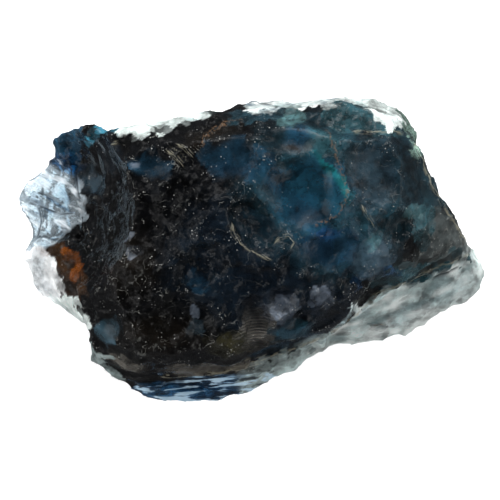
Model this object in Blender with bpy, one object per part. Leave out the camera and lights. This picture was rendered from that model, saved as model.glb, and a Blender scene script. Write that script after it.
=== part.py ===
"""A rough sapphire crystal, 12.5 mm long, lying on a small flat spot of its broad back.

Run it with:  blender --background --python part.py

The stone is one solid. Its dark, thick block is the hull of corners measured from the stone. Thin
flakes stand out of the block at the left and along the foot, and a water-worn shelf stands out at
the right. Bowls are cut where the sapphire broke in large shells, smaller shells break up the whole
skin, and the underside is cut flat where the stone rests.

+X runs along the stone, +Y across it and +Z up, out of its broad front. The shape is drawn in
millimetres, because Blender's voxel remesher goes no finer than a ten-thousandth of a unit. Its
parent then brings it to metres, at exactly LENGTH from end to end.
"""

import math
from dataclasses import dataclass

import bmesh
import bpy
from mathutils import Matrix, Vector, noise
from mathutils.bvhtree import BVHTree

# The driving size, in metres: the whole stone follows it
LENGTH = 0.0125

# Everything below is in millimetres, on a stone of that length
GRAIN = 0.08
TRIANGLES = 9400
REACH = 9

# Corners of the thick dark block: its front, its rim, its widest belt, its back and what it rests on
FRONT = [
    (-3.75, 1.75, 4.85),
    (-2.2, 2.75, 4.8),
    (0.2, 2.9, 5.2),
    (2.3, 3.1, 5.05),
    (3.75, 2.75, 4.7),
    (4.25, 0.7, 4.5),
    (3.4, -0.55, 4.8),
    (1.8, -1.75, 4.7),
    (-0.6, -2.5, 4.55),
    (-2.7, -2.4, 4.5),
    (-3.8, -0.6, 4.6),
    (-0.9, 0.3, 5.4),
]
RIM = [
    (-4.5, 2.6, 3.9),
    (-3.65, 3.1, 4.0),
    (0.0, 3.66, 4.2),
    (2.5, 3.87, 4.1),
    (3.95, 3.53, 3.8),
    (4.45, 2.63, 3.8),
    (5.1, 1.45, 3.5),
    (5.85, 0.23, 2.9),
    (2.5, -1.97, 3.8),
    (1.32, -2.53, 3.8),
    (-0.53, -3.16, 3.7),
    (-1.84, -3.34, 3.6),
    (-2.89, -3.3, 3.2),
    (-3.95, -2.89, 3.0),
    (-4.35, -1.9, 3.4),
    (-4.6, -0.4, 3.4),
    (-4.6, 1.84, 3.6),
]
BELT = [
    (-3.3, 3.25, 2.3),
    (-1.2, 3.55, 2.0),
    (0.3, 3.88, 1.9),
    (2.5, 4.05, 1.7),
    (3.5, 4.0, 1.6),
    (4.3, 3.6, 1.5),
    (4.55, 2.9, 1.5),
]
BACK = [
    (-3.9, 1.7, 0.9),
    (-3.7, -1.4, 0.8),
    (-2.4, -2.7, 0.7),
    (0.6, -2.6, 0.4),
    (3.0, -1.7, 0.4),
    (4.7, -0.1, 0.7),
    (4.2, 2.1, 0.7),
    (2.9, 3.3, 0.8),
    (0.0, 3.2, 0.6),
    (-2.8, 2.6, 0.8),
]
REST = [
    (-1.9, -0.8, -0.15),
    (0.3, -1.2, -0.15),
    (2.2, -0.4, -0.15),
    (2.1, 1.3, -0.15),
    (-0.3, 1.7, -0.15),
    (-2.0, 0.8, -0.15),
]

# Corners of the pieces that stand out of the block, each thin at its outer edge
FLAKE = [
    (-5.2, 2.45, 2.0),
    (-5.74, 1.82, 1.85),
    (-6.28, 1.22, 1.6),
    (-6.24, 0.95, 1.5),
    (-5.78, 0.15, 1.5),
    (-5.2, 2.45, 1.6),
    (-6.28, 1.2, 1.35),
    (-5.78, 0.15, 1.2),
    (-4.3, 2.4, 2.6),
    (-4.2, 0.2, 2.3),
    (-3.5, 2.2, 1.1),
    (-3.5, 0.1, 0.7),
]
LOWER_FLAKE = [
    (-5.72, 0.25, 1.9),
    (-5.92, 0.0, 1.7),
    (-5.85, -0.35, 1.6),
    (-5.66, -0.95, 1.5),
    (-5.4, -1.15, 1.5),
    (-4.9, -1.45, 1.6),
    (-4.35, -1.95, 1.8),
    (-5.92, 0.0, 1.35),
    (-5.5, -1.1, 1.1),
    (-4.35, 0.2, 3.3),
    (-3.9, -2.2, 3.0),
    (-3.4, 0.1, 0.7),
    (-3.4, -2.2, 0.8),
]
KNOB = [
    (-5.25, 3.05, 3.2),
    (-5.15, 2.45, 3.0),
    (-5.2, 2.95, 2.0),
    (-5.05, 2.4, 1.9),
    (-4.1, 3.3, 3.3),
    (-4.0, 3.3, 2.0),
    (-4.3, 2.3, 3.7),
    (-3.8, 2.4, 1.5),
    (-3.6, 3.1, 3.8),
]
LIP = [
    (-4.3, -2.2, 2.2),
    (-4.1, -3.0, 1.9),
    (-3.4, -3.62, 1.5),
    (-2.8, -3.95, 1.4),
    (-1.97, -4.1, 1.4),
    (-0.66, -4.03, 1.5),
    (0.34, -3.7, 1.5),
    (1.15, -3.15, 1.6),
    (2.0, -2.75, 1.7),
    (-2.8, -3.9, 0.95),
    (-0.66, -4.0, 1.0),
    (1.3, -3.0, 0.9),
    (2.1, -2.6, 0.9),
    (-3.4, -2.9, 2.8),
    (-1.9, -3.1, 2.8),
    (0.2, -2.7, 2.9),
    (2.3, -1.8, 2.9),
    (-4.0, -2.1, 1.2),
    (-3.3, -2.2, 0.6),
    (0.9, -2.0, 0.5),
]
SHELF = [
    (6.1, 0.45, 2.5),
    (6.75, -0.3, 1.8),
    (6.75, -1.0, 1.3),
    (6.3, -1.65, 1.0),
    (5.7, -1.8, 1.0),
    (4.7, -2.15, 0.9),
    (3.4, -2.5, 0.9),
    (2.1, -2.95, 1.1),
    (1.0, -3.4, 1.2),
    (5.5, 0.9, 2.6),
    (2.3, -1.5, 3.1),
    (5.3, 1.2, 0.5),
    (0.8, -1.2, 0.3),
    (6.2, -0.5, 0.2),
    (3.6, -1.9, 0.1),
]
SHELF_ROUNDING = 2


def aim(azimuth, elevation):
    """The unit vector that points out of the stone at that azimuth from +X, and elevation, in degrees."""
    a = math.radians(azimuth)
    e = math.radians(elevation)
    return Vector((math.cos(a) * math.cos(e), math.sin(a) * math.cos(e), math.sin(e)))


@dataclass(frozen=True)
class Bowl:
    """A shallow bowl where a large shell of sapphire broke away.

    over is a point on the line through its middle, azimuth and elevation say which way it faces,
    length, width and depth are its size, turn turns its length, and polish says how far the small
    shells fade inside it, from 0 to 1.
    """

    over: tuple
    azimuth: float
    elevation: float
    length: float
    width: float
    depth: float
    turn: float = 0
    polish: float = 0

    @property
    def facing(self):
        """The unit vector out of the bowl."""
        return aim(self.azimuth, self.elevation)

    def middle(self, tree):
        """Where the line through the bowl's middle meets the uncut stone."""
        start = Vector(self.over) + self.facing * REACH
        return tree.ray_cast(start, -self.facing)[0]


BOWLS = {
    "window": Bowl((1.55, 1.45, 5), 90, 90, 2.1, 2.0, 0.34, 0, 0.9),
    "window_top": Bowl((1.15, 2.9, 5), 90, 75, 1.9, 1.6, 0.2, 0, 0.8),
    "blue_facet": Bowl((-0.6, 2.3, 5), 120, 80, 2.1, 1.9, 0.2, 20, 0.8),
    "left_shoulder": Bowl((-3.7, 2.55, 4.5), 115, 62, 1.5, 0.9, 0.26, 15, 0.8),
    "left_step": Bowl((-2.5, 2.2, 5), 150, 70, 1.5, 1.2, 0.2, 0, 0.6),
    "middle_arc": Bowl((0.35, 0.4, 5), 60, 84, 1.9, 1.4, 0.34, -25, 0.5),
    "ribbed_hollow": Bowl((0.25, -1.95, 5), -85, 70, 0.9, 1.5, 0.26, 0, 0.3),
    "pale_break": Bowl((0.95, -1.45, 5), -60, 70, 0.8, 0.9, 0.2, 0, 0.2),
    "dark_foot": Bowl((1.4, -2.15, 5), -65, 60, 1.3, 0.8, 0.18, 20, 0.8),
    "round_spot": Bowl((-3.7, -2.1, 4), 215, 55, 0.95, 0.85, 0.13, 0, 0.8),
    "low_left": Bowl((-1.9, -2.1, 5), -100, 74, 2.6, 1.9, 0.3, 10, 0.3),
    "black_left": Bowl((-2.5, 0.4, 5), 180, 80, 2.2, 2.2, 0.22, 0, 0.2),
    "black_middle": Bowl((-1.3, -0.7, 5), -90, 84, 1.6, 1.6, 0.2, 0, 0.2),
    "deep_blue": Bowl((2.0, -0.15, 5), -20, 84, 1.6, 1.1, 0.22, -20, 0.6),
    "right_flat": Bowl((3.6, 1.9, 5), 30, 78, 2.0, 2.1, 0.22, 0, 0.8),
    "right_low": Bowl((4.2, 0.5, 5), -10, 70, 1.3, 1.9, 0.18, 0, 0.5),
    "corner_flat": Bowl((3.1, 3.3, 4.5), 85, 55, 2.4, 1.0, 0.2, 0, 0.3),
    "rim_notch": Bowl((3.6, -1.3, 3.6), -60, 30, 1.8, 1.6, 0.34, 0, 0.4),
    "left_wall": Bowl((-4.7, 0.9, 3.9), 180, 20, 1.5, 1.2, 0.13, 0, 0.2),
    "left_foot": Bowl((-4.4, -1.6, 3.6), 200, 35, 1.3, 1.0, 0.14, 0, 0.3),
    "foot_wall": Bowl((-1.2, -3.3, 3.2), -95, 12, 3.0, 1.2, 0.26, 0, 0.3),
    "lip_band": Bowl((-1.5, -3.9, 2.3), -95, 50, 3.0, 0.9, 0.18, 0, 0.6),
    "lip_end": Bowl((0.8, -2.8, 2.4), -65, 50, 1.5, 0.8, 0.1, 0, 0.6),
    "lip_under": Bowl((-1.7, -3.6, 0.6), -95, -50, 2.8, 1.5, 0.22, 0, 0.4),
    "top_wall_left": Bowl((-2.2, 3.4, 3.0), 95, 12, 2.8, 1.7, 0.34, 0, 0.4),
    "top_wall_right": Bowl((1.5, 4.0, 2.9), 90, 14, 3.0, 1.8, 0.26, 0, 0.4),
    "right_wall": Bowl((4.9, 2.2, 2.4), 25, 4, 2.6, 2.4, 0.4, 0, 0.4),
    "right_foot": Bowl((5.2, 1.2, 1.6), 30, -20, 1.8, 1.5, 0.26, 0, 0.2),
    "flake_top": Bowl((-5.4, 1.2, 2.4), 180, 68, 1.9, 1.9, 0.13, 0, 0.85),
    "flake_under": Bowl((-5.2, 0.9, 0.8), 190, -62, 2.0, 2.2, 0.2, 0, 0.8),
    "back_left": Bowl((-3.6, -0.5, 0.4), 190, -50, 2.4, 2.4, 0.3, 0, 0.3),
    "back_top": Bowl((0.8, 3.3, 0.6), 90, -38, 3.2, 1.6, 0.34, 0, 0.4),
    "back_top_left": Bowl((-2.6, 2.8, 0.8), 110, -30, 2.2, 1.6, 0.3, 0, 0.2),
    "back_right": Bowl((4.8, 1.6, 0.4), 15, -50, 2.0, 2.2, 0.28, 0, 0.4),
}
BOWL_RINGS = 14
BOWL_SIDES = 40

# The small shells are whole out to FADE_END of a polished bowl's half length, and fade inside it
FADE_START = 0.6
FADE_END = 1.1


@dataclass(frozen=True)
class Shells:
    """Small shells that break up the skin: how far apart, how hollow, and how much each one leans."""

    size: float
    hollow: float
    lean: float


SHELLS = (Shells(1.35, 0.2, 0.17), Shells(0.55, 0.075, 0.11))
WAVE = 1.1
WAVE_RISE = 0.35


def clear_scene():
    """Removes the objects that Blender starts with."""
    for obj in list(bpy.data.objects):
        bpy.data.objects.remove(obj)


def object_from(name, shape):
    """An object with the mesh of this bmesh, which is freed."""
    mesh = bpy.data.meshes.new(name)
    shape.to_mesh(mesh)
    shape.free()
    return bpy.data.objects.new(name, mesh)


def hull(name, corners):
    """A solid whose flat faces join these corners."""
    shape = bmesh.new()
    for corner in corners:
        shape.verts.new(corner)
    made = bmesh.ops.convex_hull(shape, input=shape.verts)
    inner = {v for v in made["geom_interior"] + made["geom_unused"] if isinstance(v, bmesh.types.BMVert)}
    bmesh.ops.delete(shape, geom=list(inner), context="VERTS")
    bmesh.ops.recalc_face_normals(shape, faces=shape.faces)
    return object_from(name, shape)


def as_cutter(obj, collection, parent):
    """Keeps a helper out of the render, and puts it in the collection that a Boolean reads."""
    collection.objects.link(obj)
    obj.parent = parent
    obj.hide_render = True
    obj.display_type = "WIRE"


def skin_tree(objects):
    """A tree of the faces of these objects, which finds where a line meets them."""
    shape = bmesh.new()
    for obj in objects:
        shape.from_mesh(obj.data)
    tree = BVHTree.FromBMesh(shape)
    shape.free()
    return tree


def bowl_cutter(name, bowl, middle):
    """Half an egg, blunt end down, that leaves the bowl when it is cut from the stone.

    Its outline is spun from points that crowd towards the blunt end, where it cuts.
    """
    radius = (bowl.length**2 / 4 + bowl.depth**2) / (2 * bowl.depth)
    shape = bmesh.new()
    last = shape.verts.new((0, 0, -radius))
    edges = []
    for ring in range(1, BOWL_RINGS + 1):
        angle = math.pi / 2 * (ring / BOWL_RINGS) ** 1.5
        point = shape.verts.new((radius * math.sin(angle), 0, -radius * math.cos(angle)))
        edges.append(shape.edges.new((last, point)))
        last = point
    bmesh.ops.spin(
        shape,
        geom=shape.verts[:] + edges,
        cent=(0, 0, 0),
        axis=(0, 0, 1),
        angle=2 * math.pi,
        steps=BOWL_SIDES,
    )
    bmesh.ops.remove_doubles(shape, verts=shape.verts, dist=radius * 1e-5)
    bmesh.ops.holes_fill(shape, edges=[e for e in shape.edges if e.is_boundary])
    bmesh.ops.scale(shape, vec=(1, bowl.width / bowl.length, 1), verts=shape.verts)
    bmesh.ops.recalc_face_normals(shape, faces=shape.faces)
    obj = object_from(name, shape)
    facing = bowl.facing.to_track_quat("Z", "Y").to_matrix().to_4x4()
    turned = facing @ Matrix.Rotation(math.radians(bowl.turn), 4, "Z")
    obj.matrix_world = Matrix.Translation(middle + bowl.facing * (radius - bowl.depth)) @ turned
    return obj


def add_boolean(obj, name, operation, collection):
    """Joins every helper in the collection to obj, or cuts it from obj."""
    modifier = obj.modifiers.new(name, "BOOLEAN")
    modifier.operation = operation
    modifier.operand_type = "COLLECTION"
    modifier.collection = collection
    modifier.solver = "EXACT"


def fixed_shape(obj):
    """Puts the shape that obj's modifiers make in its mesh, and removes them."""
    graph = bpy.context.evaluated_depsgraph_get()
    mesh = bpy.data.meshes.new_from_object(obj.evaluated_get(graph))
    obj.modifiers.clear()
    obj.data = mesh
    return mesh


def shell_rise(place, shells):
    """How far the skin rises at a place over those shells.

    Each shell is hollow in its middle and leans its own way, so that its edge makes a small ledge.
    """
    near, middles = noise.voronoi(place / shells.size)
    across = place / shells.size - middles[0]
    way = noise.noise_vector(middles[0] * 3.7)
    return shells.hollow * (near[0] ** 2 - 0.3) + shells.lean * way.dot(across)


def polish_at(place, polished):
    """How far the small shells fade at a place, from 0 to 1.

    polished has the middle, the half length and the polish of each bowl.
    """
    share = 0.0
    for middle, half, polish in polished:
        gone = (place - middle).length / half
        inside = (FADE_END - gone) / (FADE_END - FADE_START)
        share = max(share, polish * min(1.0, max(0.0, inside)))
    return share


def break_skin(mesh, polished):
    """Moves the skin along its normals, so that it looks broken into shells."""
    for vertex, normal in zip(mesh.vertices, [v.normal.copy() for v in mesh.vertices]):
        place = vertex.co.copy()
        bent = place + WAVE_RISE * noise.noise_vector(place / WAVE)
        rise = sum(shell_rise(bent, shells) for shells in SHELLS)
        vertex.co += normal * rise * (1 - polish_at(place, polished))


def sapphire_material():
    """Rough sapphire: blue-black, glassy where it broke."""
    material = bpy.data.materials.new("rough_sapphire")
    material.use_nodes = True
    shader = material.node_tree.nodes["Principled BSDF"]
    shader.inputs["Base Color"].default_value = (0.012, 0.022, 0.035, 1)
    shader.inputs["Roughness"].default_value = 0.22
    shader.inputs["Metallic"].default_value = 0.0
    shader.inputs["IOR"].default_value = 1.77
    return material


def stand_at_origin(stone_frame, stone):
    """Brings the stone to LENGTH, with the middle of its box over the origin and its flat spot at Z = 0."""
    shape = stone.evaluated_get(bpy.context.evaluated_depsgraph_get())
    corners = [Vector(corner) for corner in shape.bound_box]
    low = Vector(map(min, *corners))
    high = Vector(map(max, *corners))
    scale = LENGTH / (high.x - low.x)
    middle = (low + high) / 2 * scale
    stone_frame.scale = (scale, scale, scale)
    stone_frame.location = (-middle.x, -middle.y, 0)


def build():
    """Models the crystal, lying on its flat spot."""
    clear_scene()
    scene = bpy.context.scene
    stone_frame = bpy.data.objects.new("stone_frame", None)
    scene.collection.objects.link(stone_frame)
    groups = {}
    for name in ("lumps", "bowls", "floor"):
        groups[name] = bpy.data.collections.new(name)
        scene.collection.children.link(groups[name])

    crystal = hull("sapphire_crystal", FRONT + RIM + BELT + BACK + REST)
    scene.collection.objects.link(crystal)
    crystal.parent = stone_frame

    pieces = {"flake": FLAKE, "lower_flake": LOWER_FLAKE, "knob": KNOB, "lip": LIP, "shelf": SHELF}
    lumps = {name: hull(name, corners) for name, corners in pieces.items()}
    for lump in lumps.values():
        as_cutter(lump, groups["lumps"], stone_frame)
    rounding = lumps["shelf"].modifiers.new("worn_round", "SUBSURF")
    rounding.levels = SHELF_ROUNDING
    rounding.render_levels = SHELF_ROUNDING

    tree = skin_tree([crystal, *lumps.values()])
    polished = []
    for name, bowl in BOWLS.items():
        middle = bowl.middle(tree)
        as_cutter(bowl_cutter(name, bowl, middle), groups["bowls"], stone_frame)
        polished.append((middle, max(bowl.length, bowl.width) / 2, bowl.polish))

    add_boolean(crystal, "join_lumps", "UNION", groups["lumps"])
    add_boolean(crystal, "cut_bowls", "DIFFERENCE", groups["bowls"])
    grain = crystal.modifiers.new("even_grain", "REMESH")
    grain.mode = "VOXEL"
    grain.voxel_size = GRAIN
    break_skin(fixed_shape(crystal), polished)

    thin_out = crystal.modifiers.new("few_faces", "DECIMATE")
    thin_out.ratio = TRIANGLES / (2 * len(crystal.data.polygons))
    sides = (-REACH, REACH)
    floor = hull("floor_block", [(x, y, z) for x in sides for y in sides for z in (-REACH, 0)])
    as_cutter(floor, groups["floor"], stone_frame)
    add_boolean(crystal, "flat_spot", "DIFFERENCE", groups["floor"])
    crystal.data.materials.append(sapphire_material())
    bpy.context.view_layer.update()
    stand_at_origin(stone_frame, crystal)


build()
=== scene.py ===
"""The looks of a rough sapphire crystal, 12.5 mm long, lying on its broad back.

The stone is one piece of corundum that broke in shells. Its middle is so thick that it looks
blue-black, its windows glow navy and teal, and its thin flakes, lip and rims let the light through.
The script gives the solid a finer skin, marks where the ridges, cracks and edges run, and finishes it
with one material whose zones follow the stone.
"""

import logging
import math
from collections.abc import Sequence
from dataclasses import asdict, dataclass
from enum import Enum

import bmesh
import bpy
import numpy as np
from mathutils import Matrix, Vector, noise
from mathutils.bvhtree import BVHTree


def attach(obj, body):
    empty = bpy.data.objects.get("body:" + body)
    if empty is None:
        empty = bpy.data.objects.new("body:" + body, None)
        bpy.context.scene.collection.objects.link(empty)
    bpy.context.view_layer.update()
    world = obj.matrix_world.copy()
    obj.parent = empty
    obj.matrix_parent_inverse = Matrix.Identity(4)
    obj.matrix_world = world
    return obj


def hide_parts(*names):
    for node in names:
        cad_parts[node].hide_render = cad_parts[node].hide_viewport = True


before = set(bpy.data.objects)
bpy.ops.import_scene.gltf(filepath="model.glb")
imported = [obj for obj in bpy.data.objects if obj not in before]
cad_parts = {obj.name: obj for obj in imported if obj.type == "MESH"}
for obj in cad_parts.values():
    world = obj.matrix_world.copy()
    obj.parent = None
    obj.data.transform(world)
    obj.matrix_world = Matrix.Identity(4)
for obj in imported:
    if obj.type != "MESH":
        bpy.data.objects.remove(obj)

LOG = logging.getLogger("sapphire")
SOLID = "sapphire_crystal"
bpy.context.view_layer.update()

# The skin is modelled in millimetres and brought to metres at the end
MM = 0.001


def linear(colour: str) -> tuple[float, float, float, float]:
    """Turns an sRGB hex colour to linear.

    Args:
        colour: Six hex digits after a hash sign.

    Returns:
        Linear red, green and blue, and an alpha of one.
    """
    parts = [int(colour[i : i + 2], 16) / 255 for i in (1, 3, 5)]
    red, green, blue = (p / 12.92 if p <= 0.04045 else ((p + 0.055) / 1.055) ** 2.4 for p in parts)
    return red, green, blue, 1.0


def add_node(
    tree: bpy.types.NodeTree,
    kind: str,
    inputs: Sequence[object] | dict[str | int, object] = (),
    **settings: object,
) -> bpy.types.Node:
    """Adds a node with its settings and its inputs.

    Args:
        tree: The node tree that it goes in.
        kind: Blender's name for the node's type.
        inputs: What the inputs get, in their order, or by name or place: a socket, or the first
            output of a node, is linked, and a value is set.
        settings: Properties to set on it.

    Returns:
        The node.
    """
    node = tree.nodes.new(kind)
    for name, value in settings.items():
        setattr(node, name, value)
    for key, value in inputs.items() if isinstance(inputs, dict) else enumerate(inputs):
        source = value.outputs[0] if isinstance(value, bpy.types.Node) else value
        if isinstance(source, bpy.types.NodeSocket):
            tree.links.new(source, node.inputs[key])
        else:
            node.inputs[key].default_value = source
    return node


@dataclass(frozen=True)
class Finish:
    """How one kind of place on the stone looks.

    Attributes:
        colour: Its sRGB colour in hex.
        clarity: The share of the light that goes through, from 0 to 1.
        roughness: How rough the break is, from 0 to 1.
        grit_and_glint: How thick the pale specks, hairlines and edges lie, from 0 to 1; they are partly chips
            and partly painted glints.
    """

    colour: str
    clarity: float
    roughness: float
    grit_and_glint: float


class Look(Enum):
    """The finishes that sapphire takes, from the thick dark middle to the thin clear edges."""

    COAL = Finish("#060709", 0.06, 0.22, 0.7)
    WARM_COAL = Finish("#14100b", 0.1, 0.26, 0.8)
    MIDNIGHT = Finish("#0d151c", 0.2, 0.2, 0.5)
    NAVY = Finish("#173040", 0.25, 0.16, 0.3)
    WINDOW = Finish("#1c4558", 0.25, 0.12, 0.12)
    BLUE = Finish("#1f4156", 0.25, 0.16, 0.3)
    ROYAL = Finish("#20456a", 0.25, 0.16, 0.4)
    DARK_TEAL = Finish("#1f3a44", 0.3, 0.2, 0.4)
    TEAL = Finish("#2c5058", 0.3, 0.26, 0.4)
    BRIGHT_TEAL = Finish("#1f7a7e", 0.35, 0.16, 0.1)
    PALE_TEAL = Finish("#6fa0a2", 0.35, 0.3, 0.2)
    SLATE = Finish("#2e404b", 0.2, 0.3, 0.9)
    GRAVEL = Finish("#3d4444", 0.15, 0.4, 2.5)
    LAVENDER = Finish("#7d8896", 0.25, 0.25, 1.5)
    OLIVE = Finish("#2b291a", 0.15, 0.28, 0.7)
    BEVEL = Finish("#524f49", 0.2, 0.3, 0.5)
    CLOUD = Finish("#b8cbca", 0.4, 0.3, 0.35)
    PALE_CLOUD = Finish("#d9e4e1", 0.4, 0.3, 0.2)
    SPOT = Finish("#2e444f", 0.2, 0.2, 0.2)
    SNOW = Finish("#eceff0", 0.4, 0.35, 0.1)
    ICE = Finish("#dff1fc", 0.8, 0.06, 0.08)
    ICE_NAVY = Finish("#245a86", 0.9, 0.08, 0.1)
    LIP_NAVY = Finish("#2a587e", 0.8, 0.08, 0.05)
    SEA_GREEN = Finish("#9fc4b6", 0.8, 0.2, 0.1)
    CYAN = Finish("#4aa0bc", 0.6, 0.2, 0.1)
    RUST = Finish("#2b1a0a", 0.4, 0.2, 0.3)
    HONEY = Finish("#7a3f0a", 0.5, 0.15, 0.1)


@dataclass(frozen=True)
class Zone:
    """A place on the stone with a finish of its own, with a soft and ragged edge.

    Attributes:
        name: What the place is.
        look: Its finish.
        at: A point on the line through its middle, in millimetres.
        reach: Half its length, width and depth, in millimetres.
        turn: How far it turns about the line, in degrees.
        soft: The share of its reach over which it fades in.
        strength: How far it covers what is under it, from 0 to 1.
        facing: Azimuth and elevation of the line through it, out of the stone, in degrees.
    """

    name: str
    look: Look
    at: tuple[float, float, float]
    reach: tuple[float, float, float]
    turn: float = 0.0
    soft: float = 0.5
    strength: float = 1.0
    facing: tuple[float, float] = (90.0, 90.0)

    def middle(self, stone: BVHTree) -> Vector:
        """Finds the zone's middle on the skin.

        Args:
            stone: The stone's faces, in millimetres.

        Returns:
            Where the line meets the skin from outside.
        """
        azimuth, elevation = (math.radians(angle) for angle in self.facing)
        flat = math.cos(elevation)
        way = Vector((math.cos(azimuth) * flat, math.sin(azimuth) * flat, math.sin(elevation)))
        return stone.ray_cast(Vector(self.at) + way * 20, -way)[0] or Vector(self.at)

    def mask(self, places: np.ndarray, stone: BVHTree) -> np.ndarray:
        """Tells how far places lie in the zone.

        Args:
            places: One row for each place, in millimetres.
            stone: The stone's faces, in millimetres.

        Returns:
            From 0 outside to the zone's strength inside.
        """
        turn = math.radians(self.turn)
        away = places - self.middle(stone)
        along = away[:, 0] * math.cos(turn) + away[:, 1] * math.sin(turn)
        beside = away[:, 1] * math.cos(turn) - away[:, 0] * math.sin(turn)
        local = np.stack([along, beside, away[:, 2]], axis=1) / self.reach
        inside = np.clip((1 - np.linalg.norm(local, axis=1)) / self.soft, 0, 1)
        return self.strength * inside**2 * (3 - 2 * inside)


@dataclass(frozen=True)
class Patch:
    """A part of the stone with a finish of its own, inside an outline seen from above.

    Attributes:
        name: What the part is.
        look: Its finish.
        outline: Its corners in X and Y, in millimetres.
        soft: How wide its edge is, in millimetres.
        strength: How far it covers what is under it, from 0 to 1.
        above: The height that it fades in from, in millimetres.
        rise: How high it takes to fade in, in millimetres.
    """

    name: str
    look: Look
    outline: tuple[tuple[float, float], ...]
    soft: float = 0.12
    strength: float = 1.0
    above: float = -1.0
    rise: float = 1.0

    def mask(self, places: np.ndarray, stone: BVHTree | None = None) -> np.ndarray:
        """Tells how far places lie in the patch.

        Args:
            places: One row for each place, in millimetres.
            stone: Not needed, because the patch goes through the whole stone.

        Returns:
            From 0 outside to the patch's strength inside.
        """
        flat = places[:, :2]
        gap = np.full(len(flat), np.inf)
        within = np.zeros(len(flat), bool)
        corners = np.array(self.outline)
        for start, end in zip(corners, np.roll(corners, -1, axis=0), strict=True):
            way = end - start
            away = flat - start
            along = np.clip(away @ way / (way @ way), 0, 1)
            gap = np.minimum(gap, np.linalg.norm(away - along[:, None] * way, axis=1))
            if way[1]:
                crossed = (start[1] > flat[:, 1]) != (end[1] > flat[:, 1])
                within ^= crossed & (flat[:, 0] < start[0] + away[:, 1] * way[0] / way[1])
        inside = np.clip(np.where(within, gap, -gap) / self.soft + 0.5, 0, 1)
        high = np.clip((places[:, 2] - self.above) / self.rise, 0, 1)
        return self.strength * high * inside**2 * (3 - 2 * inside)


FLAKE = Patch(
    "flake",
    Look.ICE,
    (
        (-6.6, 1.2), (-6.2, 1.8), (-5.65, 2.15), (-5.25, 2.4), (-4.82, 2.24), (-4.61, 1.93),
        (-4.51, 1.49), (-4.47, 0.96), (-4.69, 0.61), (-4.78, 0.35), (-5.26, 0.11), (-6.0, 0.1),
        (-6.3, 0.5),
    ),
)
SHELF = Patch(
    "shelf",
    Look.CLOUD,
    (
        (2.06, -2.24), (2.59, -1.8), (3.25, -1.23), (3.51, -1.07), (4.56, -0.77), (5.61, -0.31),
        (5.88, 0.04), (6.6, 0.2), (6.7, -0.9), (6.2, -1.8), (5.3, -2.1), (4.1, -2.6), (3.0, -2.8),
        (2.1, -2.9),
    ),
)
# The band at the top is partly whitish broken stone and partly a painted reflection of the bright light that
# its steep faces catch
TOP_BAND = Patch(
    "top_band",
    Look.PALE_CLOUD,
    ((-0.18, 4.2), (3.07, 4.4), (2.98, 3.89), (1.84, 3.78), (0.96, 3.69), (0.44, 3.63), (-0.13, 3.63)),
    strength=0.9,
    above=1.0,
)
LIP = Patch(
    "lip",
    Look.LIP_NAVY,
    (
        (-3.03, -3.55), (-2.37, -3.44), (-0.44, -3.36), (0.26, -3.25), (0.7, -3.29), (0.2, -4.1),
        (-1.67, -4.5), (-3.2, -4.4),
    ),
)


@dataclass(frozen=True)
class Streaks:
    """Streaks that lie one way through a clear part of the stone.

    Attributes:
        patch: The part that they lie in, whose name is that of their attribute.
        turn: Which way they lie, in degrees from +X.
        size: How long and how wide they are, in millimetres.
        pale: The sRGB colour of the bright ones, in hex.
        pale_share: The value of their pattern above which they are bright.
        dark: The sRGB colour of the dark ones, in hex.
        dark_share: The value of their pattern under which they are dark.
        fade: How far their pattern goes from none to full.
        relief: How high they stand, as a multiple of the finest relief.
    """

    patch: Patch
    turn: float
    size: tuple[float, float]
    pale: str
    pale_share: float
    dark: str
    dark_share: float
    fade: float
    relief: float


STREAKS = (
    Streaks(FLAKE, -30, (1.3, 0.2), "#f4faff", 0.54, "#5f86a8", 0.42, 0.14, 2.6),
    Streaks(SHELF, 20, (0.9, 0.34), "#eff5f3", 0.45, "#779294", 0.49, 0.24, 1.0),
    Streaks(TOP_BAND, 5, (0.7, 0.18), "#ffffff", 0.52, "#64798a", 0.52, 0.14, 1.0),
    # The lip's pale streaks are partly streaks in the stone and partly painted highlights
    Streaks(LIP, 5, (0.9, 0.13), "#c8e6fa", 0.495, "#0d2233", 0.47, 0.1, 2.5),
)

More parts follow.
